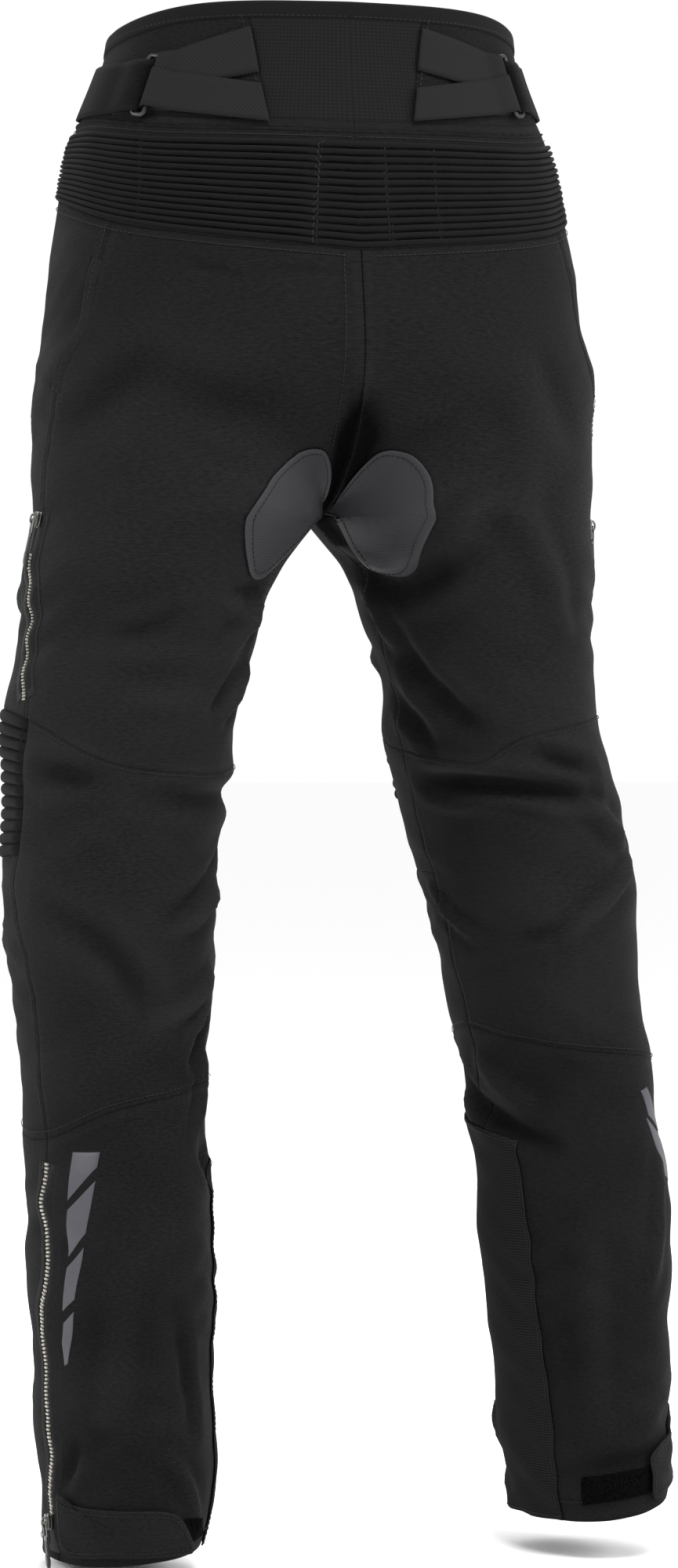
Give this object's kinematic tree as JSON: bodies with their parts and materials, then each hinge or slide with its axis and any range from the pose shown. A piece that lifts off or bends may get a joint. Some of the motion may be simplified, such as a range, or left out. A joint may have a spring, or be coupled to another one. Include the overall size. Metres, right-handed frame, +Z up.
{
  "type": "motorcycle trousers",
  "caption": "Worn-shape softshell riding trousers with ribbed stretch yoke and knees, grip patches, waist straps, thigh vent zips and zipped hems with tabs.",
  "frame": {"origin": "middle of the waist, level with the waist straps, where the wearer's waist holds the garment", "axes": "+Z up along the body, -Y to the front of the garment, +X to the wearer's left"},
  "size_m": [0.4668, 0.2641, 1.0625],
  "materials": {
    "softshell": "matte woven softshell with a fine rib",
    "stretch_rib": "ribbed accordion stretch cloth",
    "grid_fabric": "waffle grid cloth, padded",
    "grip_cloth": "charcoal grip cloth, grained",
    "elastic_webbing": "woven elastic webbing",
    "zip_tape": "woven zip tape",
    "hook_and_loop": "hook and loop webbing, fuzzy",
    "gunmetal_wire": "dark gunmetal wire",
    "dark_nickel": "dark nickel",
    "moulded_rubber": "matte moulded rubber"
  },
  "bodies": {
    "trousers": {"calf_back_left": "softshell", "calf_back_right": "softshell", "calf_grip_left": "grip_cloth", "calf_grip_right": "grip_cloth", "calf_lower_left": "softshell", "calf_lower_right": "softshell", "elastic_lower_left": "elastic_webbing", "elastic_lower_right": "elastic_webbing", "elastic_upper_left": "elastic_webbing", "elastic_upper_right": "elastic_webbing", "fly_flap_left": "softshell", "front_and_thigh_left": "softshell", "front_and_thigh_right": "softshell", "front_yoke_left": "softshell", "front_yoke_right": "softshell", "hem_slider_left": "dark_nickel", "hem_slider_right": "dark_nickel", "hem_tab_left": "softshell", "hem_tab_right": "softshell", "hem_zip_tape_left": "zip_tape", "hem_zip_tape_right": "zip_tape", "hook_strap_left": "hook_and_loop", "hook_strap_right": "hook_and_loop", "knee_inside_left": "softshell", "knee_inside_right": "softshell", "knee_stretch_left": "stretch_rib", "knee_stretch_right": "stretch_rib", "loop_patch_left": "hook_and_loop", "loop_patch_right": "hook_and_loop", "pocket_welt_left": "softshell", "pocket_welt_right": "softshell", "seat_and_thigh_left": "softshell", "seat_and_thigh_right": "softshell", "seat_patch_left": "grip_cloth", "seat_patch_right": "grip_cloth", "shin_left": "softshell", "shin_lower_left": "softshell", "shin_lower_right": "softshell", "shin_right": "softshell", "stretch_yoke": "stretch_rib", "thigh_slider_left": "dark_nickel", "thigh_slider_right": "dark_nickel", "thigh_zip_tape_left": "zip_tape", "thigh_zip_tape_right": "zip_tape", "waist_facing_left": "softshell", "waist_facing_right": "softshell", "waist_ring_left": "gunmetal_wire", "waist_ring_right": "gunmetal_wire", "waist_snap": "dark_nickel", "waist_tab_left": "softshell", "waistband_back": "grid_fabric", "waistband_left": "softshell", "waistband_right": "softshell"},
    "hem_pull_left_body": {"hem_pull_left": "moulded_rubber"},
    "hem_pull_right_body": {"hem_pull_right": "moulded_rubber"},
    "thigh_pull_left_body": {"thigh_pull_left": "moulded_rubber"},
    "thigh_pull_right_body": {"thigh_pull_right": "moulded_rubber"}
  },
  "joints": [
    {"name": "thigh_pull_left_hinge", "type": "hinge", "parent": "trousers", "child": "thigh_pull_left_body", "pos_m": [0.20177, 0.0199, -0.30086], "axis": [0.0534, -0.9961, 0.0697], "range_deg": [0, 120]},
    {"name": "thigh_pull_right_hinge", "type": "hinge", "parent": "trousers", "child": "thigh_pull_right_body", "pos_m": [-0.2015, 0.01957, -0.30169], "axis": [0.0539, 0.9849, -0.1645], "range_deg": [0, 120]},
    {"name": "hem_pull_left_hinge", "type": "hinge", "parent": "trousers", "child": "hem_pull_left_body", "pos_m": [0.19422, 0.02717, -0.98476], "axis": [0.1443, -0.9885, 0.0459], "range_deg": [0, 120]},
    {"name": "hem_pull_right_hinge", "type": "hinge", "parent": "trousers", "child": "hem_pull_right_body", "pos_m": [-0.25086, 0.01648, -0.95016], "axis": [-0.1189, 0.9921, -0.039], "range_deg": [0, 120]}
  ]
}
